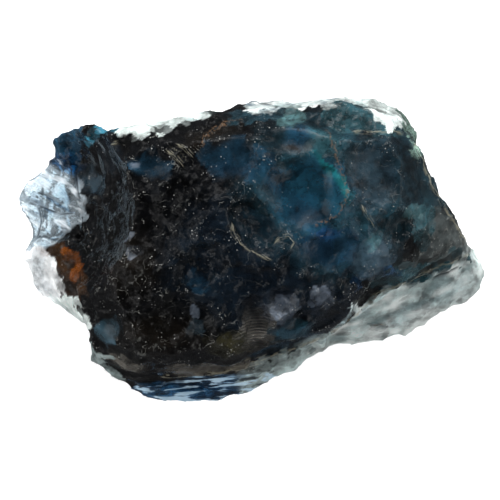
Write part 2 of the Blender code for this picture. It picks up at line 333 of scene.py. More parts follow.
ZONES = (
    # The broad front: coal at the left, blue at the right
    Zone("mid_body", Look.MIDNIGHT, (-0.4, -0.3, 5), (2.4, 2.2, 1.6), soft=0.6),
    Zone("blue_half", Look.DARK_TEAL, (2.1, 1.5, 5), (2.9, 2.6, 2.2), soft=0.5, strength=0.9),
    Zone("foot_half", Look.MIDNIGHT, (1.2, -1.6, 5), (2.6, 1.3, 1.4), soft=0.6, strength=0.8),
    Zone("window", Look.WINDOW, (1.55, 1.5, 5), (1.2, 1.25, 0.8), soft=0.35),
    Zone("window_foot", Look.NAVY, (1.5, 1.0, 5), (0.9, 0.5, 0.8), soft=0.8, strength=0.8),
    Zone("teal_top", Look.TEAL, (1.79, 2.89, 5), (0.6, 0.5, 0.7), soft=0.7),
    Zone("under_teal", Look.BLUE, (1.18, 3.0, 5), (0.5, 0.45, 0.7), soft=0.7),
    Zone("pale_teal", Look.PALE_TEAL, (1.05, 3.47, 5), (0.6, 0.3, 0.6), soft=0.7, strength=0.6),
    Zone("blue_facet", Look.NAVY, (-0.55, 2.5, 5), (0.7, 0.75, 0.8), 20, 0.4),
    Zone("blue_two", Look.BLUE, (0.2, 2.24, 5), (0.55, 0.6, 0.8), soft=0.6, strength=0.8),
    Zone("blue_three", Look.BLUE, (0.62, 1.84, 5), (0.45, 0.4, 0.8), soft=0.6, strength=0.8),
    Zone("right_left", Look.SLATE, (3.2, 2.0, 5), (0.95, 1.3, 0.9), soft=0.5, strength=0.8),
    Zone("right_edge", Look.DARK_TEAL, (4.5, 2.0, 3.5), (0.9, 1.6, 2.2), 20, 0.5, 0.8),
    Zone("right_dark", Look.MIDNIGHT, (4.1, 2.2, 4.5), (0.75, 1.2, 0.9), soft=0.4, strength=0.6),
    Zone("deep_band", Look.NAVY, (2.05, 0.1, 5), (1.2, 0.65, 0.8), -12, 0.5),
    Zone("deep_patch", Look.ROYAL, (1.97, 0.4, 5), (0.5, 0.26, 0.6), -15, 0.8, 0.8),
    Zone("right_blue", Look.TEAL, (4.6, 0.66, 5), (0.5, 0.95, 0.8), 20, 0.6, 0.9),
    Zone("slate_foot", Look.SLATE, (3.3, -0.3, 5), (1.0, 0.65, 0.8), 10, 0.5, 0.85),
    Zone("pale_patch", Look.PALE_TEAL, (4.32, 0.95, 5), (0.22, 0.13, 0.5), 30, 0.8, 0.25),
    Zone("pale_patch_low", Look.PALE_TEAL, (3.24, 0.24, 5), (0.3, 0.2, 0.5), 50, 0.7, 0.15),
    Zone("over_crest", Look.TEAL, (3.6, -0.7, 5), (0.95, 0.38, 0.9), 22, 0.6, 0.85),
    Zone("blue_bit", Look.ROYAL, (3.76, -0.6, 5), (0.5, 0.2, 0.6), 15, 0.7, 0.85),
    Zone("blue_bit_low", Look.ROYAL, (2.8, -0.72, 5), (0.26, 0.26, 0.6), 0, 0.8, 0.8),
    Zone("notch", Look.COAL, (1.03, 2.74, 5), (0.26, 0.16, 0.6), -20, 0.7),
    # Breaks and tints lower on the front
    Zone("fracture_left", Look.LAVENDER, (0.82, -1.5, 5), (0.48, 0.56, 0.7), 20, 1.0, 0.75),
    Zone("fracture_right", Look.LAVENDER, (1.84, -1.28, 5), (0.5, 0.4, 0.7), 30, 1.0, 0.65),
    Zone("ribbed", Look.BEVEL, (0.21, -2.05, 5), (0.6, 0.95, 0.9), -15, 0.7),
    Zone("smooth_foot", Look.DARK_TEAL, (1.16, -2.15, 5), (0.62, 0.32, 0.6), 10, 0.5),
    Zone("olive", Look.OLIVE, (-0.6, -2.5, 5), (0.9, 0.45, 0.7), 0, 0.7, 0.8),
    # Small chips on the front, with painted glints
    Zone("left_glinting_chip", Look.LAVENDER, (-3.2, 0.25, 5), (0.2, 0.13, 0.4), 20, 0.8, 0.8),
    Zone("left_glinting_chip_low", Look.LAVENDER, (-3.05, -0.16, 5), (0.12, 0.2, 0.4), 0, 0.8, 0.8),
    Zone("pale_glinting_chip", Look.LAVENDER, (-1.42, -1.71, 5), (0.22, 0.1, 0.4), 55, 0.8, 0.8),
    Zone("pale_glinting_chip_low", Look.SLATE, (-1.53, -2.1, 5), (0.4, 0.2, 0.5), 60, 0.9, 0.9),
    Zone("navy_patch", Look.NAVY, (-1.29, -0.87, 5), (0.45, 0.5, 0.7), 0, 0.8, 0.8),
    Zone("warm_crest", Look.WARM_COAL, (-0.95, 2.95, 5), (0.9, 0.5, 0.7), 10, 0.6, 0.9),
    # Warm dark breaks, thick with pale specks that are partly painted glints
    Zone("left_warm_specks", Look.WARM_COAL, (-3.2, -0.4, 5), (1.1, 1.6, 1.2), 0, 0.8, 0.6),
    Zone("foot_warm_specks", Look.WARM_COAL, (-2.4, -2.2, 5), (1.6, 0.8, 1.0), 0, 0.7, 0.7),
    Patch(
        "upper_wedge",
        Look.TEAL,
        ((1.89, 3.8), (2.98, 3.95), (3.11, 3.64), (3.38, 3.33), (4.08, 3.07), (2.63, 3.14), (2.11, 3.0)),
        strength=0.75,
    ),
    Patch(
        "teal_streak",
        Look.BRIGHT_TEAL,
        (
            (1.6, 2.48), (1.9, 2.26), (2.23, 1.95), (2.47, 1.65),
            (2.5, 1.45), (2.4, 1.52), (2.16, 1.82), (1.86, 2.12),
        ),
        soft=0.18,
        strength=0.75,
    ),
    Patch(
        "brown_corner",
        Look.GRAVEL,
        ((4.87, 1.21), (5.5, 0.7), (6.1, 0.11), (5.57, -0.09), (4.3, -0.48), (3.99, -0.46), (4.69, 0.18)),
        soft=0.3,
        strength=0.9,
    ),
    # The walls and the back, which the front hides
    Zone("north_teal", Look.DARK_TEAL, (1.4, 3, 2.0), (2.6, 1.2, 1.6), soft=0.7, facing=(90, 5)),
    Zone(
        "north_pale", Look.PALE_TEAL, (0.8, 3, 2.5), (1.9, 0.7, 0.7), soft=1.0, strength=0.7, facing=(88, 5)
    ),
    Zone("north_navy", Look.NAVY, (-2.4, 2, 2.2), (1.5, 1.0, 1.1), soft=0.8, facing=(97, 5)),
    Zone(
        "north_ice", Look.PALE_TEAL, (-2.4, 2, 2.9), (1.5, 0.6, 0.5), soft=1.0, strength=0.7, facing=(97, 5)
    ),
    Zone(
        "north_cloud", Look.CLOUD, (1.9, 3, 2.3), (2.7, 1.1, 1.4), soft=0.6, strength=0.85, facing=(88, 5)
    ),
    Zone(
        "north_cloud_left", Look.CLOUD, (-2.4, 2, 2.3), (1.8, 1.1, 1.3), 0, 0.6, 0.85, (97, 5)
    ),
    Zone(
        "north_cloud_low", Look.CLOUD, (-0.7, 3, 1.3), (1.7, 1.0, 0.9), soft=0.9, strength=0.8, facing=(92, 0)
    ),
    Zone(
        "north_foot", Look.PALE_TEAL, (0.4, 3, 0.9), (4.2, 1.0, 0.8), soft=1.0, strength=0.7, facing=(90, 0)
    ),
    Zone("east_teal", Look.TEAL, (4.2, 1.6, 1.6), (0.9, 1.4, 0.9), soft=0.9, strength=0.8, facing=(20, 0)),
    Zone("south_navy", Look.NAVY, (0.6, -2.4, 2.9), (2.2, 0.9, 0.8), 0, 0.8, 0.8, (270, 5)),
    Zone("back_blue", Look.NAVY, (2.2, 0.8, 0.5), (2.4, 1.8, 1.0), 20, 0.7, 0.9, (90, -90)),
    Zone("back_teal", Look.DARK_TEAL, (-2.6, -0.6, 0.5), (1.8, 1.5, 1.0), 0, 0.8, 0.9, (90, -90)),
    Zone("back_warm", Look.WARM_COAL, (-0.4, -2.2, 0.5), (1.6, 0.9, 0.8), 0, 0.8, 0.9, (90, -90)),
    # The rim at the top: the white of its band, facet and strip is partly whitish broken stone and partly a
    # painted reflection of the bright light that these steep faces catch
    Zone("dark_rim", Look.DARK_TEAL, (0.3, 3.5, 4), (1.3, 0.25, 0.8), 4, 0.5, 0.9),
    TOP_BAND,
    Patch(
        "white_facet",
        Look.PALE_CLOUD,
        ((2.96, 4.3), (3.9, 4.3), (3.99, 3.38), (3.68, 3.26), (3.32, 3.42), (3.07, 3.7)),
        above=1.0,
    ),
    Patch("green_edge", Look.SEA_GREEN, ((3.85, 4.2), (4.7, 3.9), (4.9, 2.5), (4.42, 2.55), (4.05, 3.3))),
    Patch(
        "white_strip",
        Look.PALE_CLOUD,
        (
            (-3.75, 3.7), (-1.1, 4.0), (-1.26, 3.42), (-2.02, 3.22),
            (-2.59, 3.12), (-3.07, 3.0), (-3.51, 3.02),
        ),
        above=1.2,
    ),
    Zone("scoop", Look.MIDNIGHT, (-3.65, 2.5, 5), (0.8, 0.5, 0.8), 8, 0.4),
    Patch(
        "cyan_streak",
        Look.CYAN,
        ((-4.32, 2.82), (-4.0, 3.3), (-3.49, 3.3), (-3.55, 3.02), (-3.95, 2.96), (-4.19, 2.75)),
    ),
    Zone("navy_facet", Look.NAVY, (-2.58, 2.15, 5), (0.7, 0.36, 0.6), -8, 0.5),
    Zone("violet_glint", Look.LAVENDER, (-2.87, 2.24, 5), (0.17, 0.13, 0.4), 0, 0.8, 0.6),
    Zone("grey_green", Look.SLATE, (-4.16, 1.84, 5), (0.5, 0.42, 0.8), 0, 0.5, 0.8),
    # Thin parts that let the light through
    FLAKE,
    Patch(
        "knob",
        Look.BLUE,
        ((-5.5, 3.3), (-4.4, 3.4), (-4.28, 3.03), (-4.47, 2.59), (-4.58, 2.37), (-4.91, 2.47), (-5.4, 2.5)),
    ),
    Patch(
        "flake_top",
        Look.ICE_NAVY,
        ((-5.4, 2.56), (-4.69, 2.5), (-4.52, 2.18), (-4.63, 1.84), (-4.78, 2.02), (-5.3, 2.3)),
        soft=0.2,
    ),
    Patch(
        "lower_flake",
        Look.SNOW,
        (
            (-6.2, 0.12), (-5.53, 0.09), (-5.25, -0.04), (-5.13, -0.44), (-5.02, -0.79), (-4.96, -1.18),
            (-5.09, -1.5), (-6.0, -1.2),
        ),
    ),
    Patch(
        "brown_flake",
        Look.RUST,
        (
            (-5.28, 0.11), (-4.96, 0.28), (-4.69, 0.19), (-4.49, -0.26), (-4.41, -0.79), (-4.41, -1.58),
            (-4.63, -1.32), (-4.91, -1.14), (-5.04, -0.75), (-5.18, -0.35),
        ),
    ),
    Patch("orange", Look.HONEY, ((-4.84, 0.14), (-4.63, 0.06), (-4.54, -0.44), (-4.68, -0.7), (-4.8, -0.37))),
    Zone("yellow", Look.HONEY, (-5.5, -0.02, 3), (0.26, 0.12, 0.5), -20, 0.8, 0.5),
    Patch(
        "sliver",
        Look.PALE_CLOUD,
        (
            (-5.3, -1.2), (-4.91, -1.14), (-4.63, -1.33), (-4.39, -1.6),
            (-4.2, -2.1), (-4.7, -2.1), (-5.3, -1.7),
        ),
    ),
    Zone("round_ring", Look.COAL, (-3.74, -2.11, 4), (0.58, 0.56, 0.7), 0, 0.25),
    Zone("round_spot", Look.SPOT, (-3.74, -2.11, 4), (0.44, 0.42, 0.6), 0, 0.2),
    Zone("brown_facets", Look.BEVEL, (-3.35, -3.0, 4), (0.8, 0.42, 0.8), -20, 0.6, 0.8),
    Patch(
        "left_rim",
        Look.CLOUD,
        (
            (-4.4, -2.5), (-4.05, -2.54), (-3.82, -2.98), (-3.52, -3.32),
            (-3.15, -3.6), (-3.3, -4.0), (-4.4, -3.4),
        ),
        strength=0.45,
    ),
    Zone("bevel", Look.BEVEL, (-0.9, -3.1, 4), (1.8, 0.26, 0.7), 4, 0.6, 0.9),
    LIP,
    Patch(
        "lip_end",
        Look.CLOUD,
        ((-0.2, -3.4), (0.44, -3.04), (1.32, -2.68), (2.19, -2.18), (2.5, -2.9), (0.5, -4.1), (-0.3, -4.1)),
        soft=0.3,
        strength=0.9,
    ),
    SHELF,
    Patch(
        "shelf_rim",
        Look.PALE_CLOUD,
        (
            (1.5, -2.8), (2.2, -2.4), (3.0, -2.2), (3.9, -1.95), (4.9, -1.5), (5.85, -1.1), (6.3, -1.6),
            (5.0, -2.3), (3.0, -3.0), (1.6, -3.5),
        ),
        soft=0.3,
    ),
    Patch(
        "shelf_end",
        Look.PALE_CLOUD,
        ((5.85, 0.3), (6.6, 0.3), (6.7, -1.0), (6.3, -1.8), (5.7, -1.7), (5.48, -1.14), (5.7, -0.53)),
        soft=0.5,
        strength=0.6,
    ),
    Patch(
        "crest_wall",
        Look.TEAL,
        (
            (3.29, -1.16), (3.42, -0.93), (4.39, -0.5), (5.53, -0.06),
            (5.83, 0.05), (5.63, -0.33), (4.56, -0.79),
        ),
        strength=0.8,
    ),
    Patch("shelf_rust_high", Look.RUST, ((3.95, -1.23), (4.25, -1.14), (4.3, -1.3), (3.95, -1.4)), 0.2, 0.7),
    Patch("shelf_rust_low", Look.RUST, ((3.2, -2.02), (3.6, -1.91), (3.67, -2.06), (3.29, -2.15)), 0.2, 0.7),
)

# The hollow whose skin has fine ripples
RIPPLES = Zone("ribbed_hollow", Look.GRAVEL, (0.22, -2.05, 4.4), (0.55, 0.9, 0.9), -15, 0.4)


class LineKind(Enum):
    """What runs along the skin, by the name of its attributes."""

    RIDGE = "ridge"
    RUST = "rust"
    CRACK = "crack"


@dataclass(frozen=True)
class LineLook:
    """How one kind of line looks.

    Attributes:
        colour: Its sRGB colour in hex.
        strength: How far it covers what is under it, from 0 to 1.
        rise: How high it stands, as a share of a ridge's rise.
        width: Half its width, in millimetres.
        gaps: The value of its pattern under which it is broken away.
        strand: How many strands lie in a millimetre, across it and along it.
    """

    colour: str
    strength: float
    rise: float
    width: float
    gaps: float
    strand: tuple[float, float, float]


LINE_LOOKS = {
    # A ridge's pale colour is partly its chipped edge and partly a painted glint along it
    LineKind.RIDGE: LineLook("#a9a48f", 0.5, 1.0, 0.09, 0.46, (24, 4, 1)),
    LineKind.RUST: LineLook("#7b6049", 0.6, 1.0, 0.1, 0.47, (16, 11, 1)),
    LineKind.CRACK: LineLook("#0d1a26", 0.9, -0.8, 0.06, 0.26, (9, 2, 1)),
}

# The marks that each kind of line leaves on the skin, and those that the skin has besides
LINE_PARTS = ("across", "along", "near")
MARKS = ("crest", "rim", "calm", "ripples", "shell_dice")

# How far a line's pattern goes from none to full, how far a streak covers what is under it, and a
# distance that is past the reach of any line, in millimetres
LINE_FADE = 0.16
STREAK_STRENGTH = 0.85
FAR = 9.0

# The level of a shell's bowl that stays where it is, how far the edges of the shells sway, the
# heights over which the shells fade in above the flat spot, in millimetres, and the middle of what
# a random colour can be
BOWL_LEVEL = 0.42
SHELL_SWAY = 0.16
FLAT_SPOT_FADE = (0.03, 0.3)
HALF = (0.5, 0.5, 0.5)


@dataclass(frozen=True)
class Line:
    """A ridge or crack that runs over the front.

    Attributes:
        name: What it is.
        kind: Whether it is a ridge, a rusty ridge or a crack.
        path: Its corners in X and Y, in millimetres.
    """

    name: str
    kind: LineKind
    path: tuple[tuple[float, float], ...]

    def measure(self, places: np.ndarray) -> tuple[np.ndarray, np.ndarray, np.ndarray]:
        """Measures how places lie to the line, seen from above.

        Args:
            places: X and Y of each place, in millimetres.

        Returns:
            The signed distance across the line, the distance along it, and how far inside its two
            ends each place is.
        """
        best = np.full(len(places), np.inf)
        across = np.full(len(places), FAR)
        gone = np.zeros(len(places))
        corners = np.array(self.path)
        lengths = np.linalg.norm(np.diff(corners, axis=0), axis=1)
        whole = lengths.sum()
        for i, length in enumerate(lengths):
            way = (corners[i + 1] - corners[i]) / length
            away = places - corners[i]
            along = np.clip(away @ way, 0, length)
            gap = np.linalg.norm(away - along[:, None] * way, axis=1)
            side = np.sign(way[0] * away[:, 1] - way[1] * away[:, 0])
            closer = gap < best
            best = np.where(closer, gap, best)
            across = np.where(closer, gap * side, across)
            gone = np.where(closer, lengths[:i].sum() + along, gone)
        return across, gone, np.minimum(gone, whole - gone)


LINES = (
    Line(
        "window_ridge",
        LineKind.RUST,
        (
            (1.97, 3.18), (2.11, 2.97), (2.18, 2.66), (2.32, 2.24), (2.39, 1.97), (2.53, 1.61),
            (2.53, 1.39), (2.42, 1.16), (2.29, 0.95), (2.0, 0.74), (1.63, 0.63),
        ),
    ),
    Line("crest", LineKind.RUST, ((-0.16, 3.39), (-0.58, 3.32), (-0.92, 3.18), (-1.16, 2.97), (-1.26, 2.66))),
    Line("corner_rust", LineKind.RUST, ((3.45, -1.05), (3.3, -1.22), (3.12, -1.42))),
    Line("shelf_rust", LineKind.RUST, ((3.24, -1.96), (3.42, -1.92), (3.6, -1.97))),
    Line("arc", LineKind.RIDGE, ((-0.5, 0.74), (-0.42, 0.42), (-0.26, 0.16), (0.11, -0.05), (0.58, -0.29))),
    Line("loop", LineKind.RIDGE, ((0.61, 0.11), (0.76, 0.32), (1.0, 0.37), (1.18, 0.18), (1.05, -0.03))),
    Line("scratch", LineKind.RIDGE, ((2.89, 1.21), (3.03, 0.95), (3.26, 0.58))),
    Line(
        "right_edge",
        LineKind.RIDGE,
        ((4.26, 2.86), (4.52, 2.36), (4.74, 1.74), (5.04, 1.22), (5.44, 0.6), (5.72, 0.14)),
    ),
    Line("facet_edge", LineKind.RIDGE, ((2.63, 3.11), (3.21, 3.05), (3.74, 3.13), (4.05, 3.05))),
    Line(
        "front_crest",
        LineKind.RIDGE,
        (
            (5.87, -0.08), (5.32, -0.32), (4.84, -0.47), (4.03, -0.89), (3.34, -1.11), (3.18, -1.37),
            (2.68, -1.79), (2.16, -2.18), (1.45, -2.5), (0.71, -2.76), (-0.53, -3.08),
        ),
    ),
    Line("lip_top", LineKind.RIDGE, ((-2.39, -3.34), (-1.58, -3.29), (-0.66, -3.21), (0.32, -2.95))),
    Line("scoop_light", LineKind.RIDGE, ((-3.68, 2.74), (-3.55, 2.79), (-3.39, 2.84))),
    Line("shell_edge", LineKind.RIDGE, ((-2.21, 2.63), (-1.95, 2.45), (-1.71, 2.16))),
    Line("shell_edge_high", LineKind.RIDGE, ((-1.95, 2.8), (-1.69, 2.66), (-1.46, 2.4))),
    Line("flake_crack", LineKind.CRACK, ((-5.89, 1.26), (-5.34, 1.08), (-5.0, 0.95), (-4.6, 0.97))),
    Line(
        "flake_curve",
        LineKind.CRACK,
        ((-5.66, 1.21), (-5.55, 1.0), (-5.53, 0.74), (-5.58, 0.45), (-5.68, 0.24)),
    ),
    Line("flake_root", LineKind.CRACK, ((-4.5, 2.25), (-4.6, 2.05), (-4.55, 1.58), (-4.5, 1.21))),
    Line("shelf_groove", LineKind.CRACK, ((4.75, -0.8), (5.13, -0.63), (5.55, -0.41))),
)

# How near a line its mark reaches, and how far it fades at its ends, in millimetres
LINE_NEAR = 0.1
LINE_END = 0.12

# Azimuth and elevation of the small lights that the stone mirrors, in degrees
GLINTS = ((95, 32), (150, 36), (25, 30), (215, 34), (320, 32))

# The size and the reach, in millimetres, of the noises that make a zone's edge ragged, their fixed
# seed, and the size of the facets that it follows
SWAYS = ((0.9, 0.18), (0.3, 0.1))
SWAY_SEED = 11
FACET = 0.25


@dataclass(frozen=True)
class SmoothPlace:
    """A smooth break, where the small shells fade.

    Attributes:
        at: Its middle in X and Y, in millimetres.
        reach: Half its length and width, in millimetres.
        calm: How far the shells fade, from 0 to 1.
    """

    at: tuple[float, float]
    reach: tuple[float, float]
    calm: float


SMOOTH_PLACES = (
    SmoothPlace((1.5, 1.5), (0.95, 1.0), 0.95),
    SmoothPlace((1.3, 3.0), (0.8, 0.5), 0.8),
    SmoothPlace((-0.5, 2.4), (0.6, 0.7), 0.9),
    SmoothPlace((0.3, 2.1), (0.6, 0.6), 0.7),
    SmoothPlace((3.6, 2.1), (0.9, 1.0), 0.6),
    SmoothPlace((-3.65, 2.5), (0.7, 0.45), 0.9),
    SmoothPlace((-2.6, 2.15), (0.55, 0.35), 0.8),
    SmoothPlace((-5.3, 1.2), (1.1, 1.3), 0.75),
    SmoothPlace((-3.74, -2.11), (0.45, 0.42), 0.95),
    SmoothPlace((1.2, -2.15), (0.6, 0.3), 0.85),
    SmoothPlace((2.05, 0.0), (0.8, 0.4), 0.7),
    SmoothPlace((-1.2, -3.6), (1.9, 0.5), 0.7),
    SmoothPlace((4.9, -1.3), (2.0, 0.7), 0.6),
    SmoothPlace((3.0, -2.2), (1.6, 0.5), 0.6),
)

# Where a smooth place ends and over what it fades, as shares of its reach
CALM_END = 1.15
CALM_FADE = 0.4


class Skin:
    """The points of a mesh, and how they hang together."""

    def __init__(self, mesh: bpy.types.Mesh) -> None:
        """Reads a mesh.

        Args:
            mesh: The mesh, in millimetres.
        """
        self.mesh = mesh
        count = len(mesh.vertices)
        self.points = np.empty(count * 3)
        mesh.vertices.foreach_get("co", self.points)
        self.points = self.points.reshape(-1, 3)
        self.normals = np.empty(count * 3)
        mesh.vertex_normals.foreach_get("vector", self.normals)
        self.normals = self.normals.reshape(-1, 3)
        edges = np.empty(len(mesh.edges) * 2, int)
        mesh.edges.foreach_get("vertices", edges)
        edges = edges.reshape(-1, 2)
        self.ends = np.concatenate([edges[:, 0], edges[:, 1]])
        self.others = np.concatenate([edges[:, 1], edges[:, 0]])
        self.joined = np.bincount(self.ends, minlength=count)

    def smoothed(self, values: np.ndarray, rounds: int) -> np.ndarray:
        """Averages values with those of the points next to them.

        Args:
            values: One row or number for each point.
            rounds: How often.

        Returns:
            The averaged values.
        """
        rows = values.reshape(len(values), -1)
        for _ in range(rounds):
            sums = np.stack(
                [
                    np.bincount(self.ends, weights=column[self.others], minlength=len(rows))
                    for column in rows.T
                ],
                axis=1,
            )
            rows = (rows + sums / self.joined[:, None]) / 2
        return rows.reshape(values.shape)

    def standing_out(self, rounds: int) -> np.ndarray:
        """Tells how far each point stands out of the skin around it.

        Args:
            rounds: How often the skin is averaged, so how wide the skin around it is.

        Returns:
            Millimetres, below zero in a hollow.
        """
        return np.einsum("ij,ij->i", self.points - self.smoothed(self.points, rounds), self.normals)

    def store(self, name: str, values: np.ndarray) -> None:
        """Keeps a number, or a row of three, for each point as an attribute of the mesh."""
        kind, slot = ("FLOAT", "value") if values.ndim == 1 else ("FLOAT_VECTOR", "vector")
        attribute = self.mesh.attributes.get(name) or self.mesh.attributes.new(name, kind, "POINT")
        attribute.data.foreach_set(slot, values.astype(np.float32).ravel())

    def shattered(self, calm: np.ndarray) -> np.ndarray:
        """Bends the points by smooth noise and draws each one to the middle of its small facet.

        Args:
            calm: How smooth the skin is at each point, from 0 to 1: a smooth place keeps its points.

        Returns:
            The points, so that a zone that follows them has a ragged edge of whole facets.
        """
        bent = self.points.copy()
        noise.seed_set(SWAY_SEED)
        for size, reach in SWAYS:
            bent += reach * np.array([noise.noise_vector(Vector(point) / size) for point in self.points])
        middles = FACET * np.array([noise.voronoi(Vector(point) / FACET)[1][0] for point in bent])
        return bent + (middles - bent) * (1 - calm)[:, None]

    def move(self, points: np.ndarray) -> None:
        """Moves the points of the mesh."""
        self.mesh.vertices.foreach_set("co", points.astype(np.float32).ravel())
        self.mesh.update()


@dataclass(frozen=True)
class BrokenSkin:
    """The small shells, chips and ridges of the skin, made by a Geometry Nodes tree.

    Each field is a named input of the tree.

    Attributes:
        shell_size: How far the small shells lie apart, in millimetres.
        shell_hollow: How hollow they are, in millimetres.
        shell_lean: How much each one leans, in millimetres.
        chip_size: How far the chips lie apart, in millimetres.
        chip_hollow: How hollow they are, in millimetres.
        chip_lean: How much each one leans, in millimetres.
        ridge_rise: How high a ridge stands, in millimetres.
        ridge_width: Half its width, in millimetres.
        seed: The fixed seed of the patterns.
    """

    shell_size: float = 0.46
    shell_hollow: float = 0.1
    shell_lean: float = 0.055
    chip_size: float = 0.2
    chip_hollow: float = 0.04
    chip_lean: float = 0.02
    ridge_rise: float = 0.05
    ridge_width: float = 0.05
    seed: float = 7.0

    def add_shells(
        self, tree: bpy.types.NodeTree, place: bpy.types.Node, inputs: bpy.types.Node, prefix: str
    ) -> tuple[bpy.types.Node, bpy.types.NodeSocket]:
        """Adds the nodes for one size of shells.

        Args:
            tree: The Geometry Nodes tree.
            place: The node of the bent place that the pattern reads.
            inputs: The tree's Group Input node.
            prefix: shell or chip, as the inputs are named.

        Returns:
            The node of how far the skin rises, in millimetres, and a random number for each shell.
        """
        size, hollow, lean = (inputs.outputs[f"{prefix}_{part}"] for part in ("size", "hollow", "lean"))
        per_mm = add_node(tree, "ShaderNodeMath", (1.0, size), operation="DIVIDE")
        pattern = {"Vector": place, "W": inputs.outputs["seed"], "Scale": per_mm}
        cells = add_node(tree, "ShaderNodeTexVoronoi", pattern, voronoi_dimensions="4D", feature="F1")
        middle = cells.outputs["Position"]
        squared = add_node(tree, "ShaderNodeMath", (cells, 2.0), operation="POWER")
        lowered = add_node(tree, "ShaderNodeMath", (squared, BOWL_LEVEL), operation="SUBTRACT")
        bowl = add_node(tree, "ShaderNodeMath", (lowered, hollow), operation="MULTIPLY")
        across = add_node(tree, "ShaderNodeVectorMath", (place, middle), operation="SUBTRACT")
        whole = add_node(tree, "ShaderNodeVectorMath", {0: across, "Scale": per_mm}, operation="SCALE")
        dice = add_node(tree, "ShaderNodeTexWhiteNoise", {"Vector": middle}, noise_dimensions="3D")
        way = add_node(tree, "ShaderNodeVectorMath", (dice.outputs["Color"], HALF), operation="SUBTRACT")
        slope = add_node(tree, "ShaderNodeVectorMath", (way, whole), operation="DOT_PRODUCT")
        rise = add_node(
            tree, "ShaderNodeMath", (slope.outputs["Value"], lean, bowl), operation="MULTIPLY_ADD"
        )
        return rise, dice.outputs["Value"]

    def tree(self) -> bpy.types.NodeTree:
        """Builds the Geometry Nodes tree.

        Returns:
            The tree, with a named input for each size.
        """
        tree = bpy.data.node_groups.new("broken_skin", "GeometryNodeTree")
        sockets = {"Geometry": "Geometry", **dict.fromkeys(asdict(self), "Float"), "Material": "Material"}
        for name, kind in sockets.items():
            tree.interface.new_socket(name, in_out="INPUT", socket_type=f"NodeSocket{kind}")
        tree.interface.new_socket("Geometry", in_out="OUTPUT", socket_type="NodeSocketGeometry")
        inputs = add_node(tree, "NodeGroupInput")

        place = add_node(tree, "GeometryNodeInputPosition")
        pattern = {"Vector": place, "W": inputs.outputs["seed"], "Scale": 1.6, "Detail": 2.0}
        sway = add_node(tree, "ShaderNodeTexNoise", pattern, noise_dimensions="4D", normalize=False)
        bent = add_node(
            tree,
            "ShaderNodeVectorMath",
            (sway.outputs["Color"], (SHELL_SWAY,) * 3, place),
            operation="MULTIPLY_ADD",
        )
        shells, dice = self.add_shells(tree, bent, inputs, "shell")
        chips, _ = self.add_shells(tree, bent, inputs, "chip")
        skin = add_node(tree, "ShaderNodeMath", (shells, chips), operation="ADD")
        calm = add_node(tree, "GeometryNodeInputNamedAttribute", {"Name": "calm"}, data_type="FLOAT")
        rough = add_node(tree, "ShaderNodeMath", (1.0, calm), operation="SUBTRACT")
        rise = add_node(tree, "ShaderNodeMath", (skin, rough), operation="MULTIPLY")
        for kind, look in LINE_LOOKS.items():
            rise = self.add_lines(tree, inputs, kind, look.rise, rise)

        # The flat spot stays flat
        height = add_node(tree, "ShaderNodeSeparateXYZ", (place,)).outputs["Z"]
        above = add_node(
            tree, "ShaderNodeMapRange", (height, *FLAT_SPOT_FADE), interpolation_type="SMOOTHSTEP"
        )
        kept = add_node(tree, "ShaderNodeMath", (rise, above), operation="MULTIPLY")
        normal = add_node(tree, "GeometryNodeInputNormal")
        offset = add_node(tree, "ShaderNodeVectorMath", {0: normal, "Scale": kept}, operation="SCALE")
        told = add_node(
            tree,
            "GeometryNodeStoreNamedAttribute",
            {"Geometry": inputs, "Name": "shell_dice", "Value": dice},
            data_type="FLOAT",
            domain="POINT",
        )
        moved = add_node(tree, "GeometryNodeSetPosition", {"Geometry": told, "Offset": offset})
        real = add_node(tree, "GeometryNodeRealizeInstances", (moved,))
        finish = {"Geometry": real, "Material": inputs.outputs["Material"]}
        add_node(tree, "NodeGroupOutput", (add_node(tree, "GeometryNodeSetMaterial", finish),))
        return tree

    def add_lines(
        self,
        tree: bpy.types.NodeTree,
        inputs: bpy.types.Node,
        kind: LineKind,
        share: float,
        rise: bpy.types.Node,
    ) -> bpy.types.Node:
        """Adds the nodes that raise ridges or sink cracks.

        Args:
            tree: The Geometry Nodes tree.
            inputs: The tree's Group Input node.
            kind: Which lines.
            share: The share of a ridge's rise, below zero for a crack.
            rise: The node of how far the skin rises so far.

        Returns:
            The node of how far the skin rises with the lines.
        """
        across, near = (
            add_node(
                tree,
                "GeometryNodeInputNamedAttribute",
                {"Name": f"{kind.value}_{part}"},
                data_type="FLOAT",
            )
            for part in ("across", "near")
        )
        size = add_node(tree, "ShaderNodeMath", (across,), operation="ABSOLUTE")
        height = add_node(tree, "ShaderNodeMath", (inputs.outputs["ridge_rise"], share), operation="MULTIPLY")
        profile = add_node(
            tree,
            "ShaderNodeMapRange",
            (size, inputs.outputs["ridge_width"], 0.0, 0.0, height),
            interpolation_type="SMOOTHSTEP",
        )
        return add_node(tree, "ShaderNodeMath", (profile, near, rise), operation="MULTIPLY_ADD")

    def apply(self, stone: bpy.types.Object, material: bpy.types.Material) -> None:
        """Breaks a stone's skin, and leaves a plain mesh with the material on it.

        Args:
            stone: The stone, with its attributes, in millimetres.
            material: What it is made of.
        """
        modifier = stone.modifiers.new("broken_skin", "NODES")
        modifier.node_group = self.tree()
        values = {**asdict(self), "Material": material}
        for item in modifier.node_group.interface.items_tree:
            if item.in_out == "INPUT" and item.name in values:
                modifier[item.identifier] = values[item.name]
        keep_shape(stone)


def keep_shape(obj: bpy.types.Object) -> None:
    """Puts the shape that an object's modifiers make in its mesh, and removes them.

    Args:
        obj: The object.
    """
    graph = bpy.context.evaluated_depsgraph_get()
    mesh = bpy.data.meshes.new_from_object(obj.evaluated_get(graph))
    obj.modifiers.clear()
    obj.data = mesh


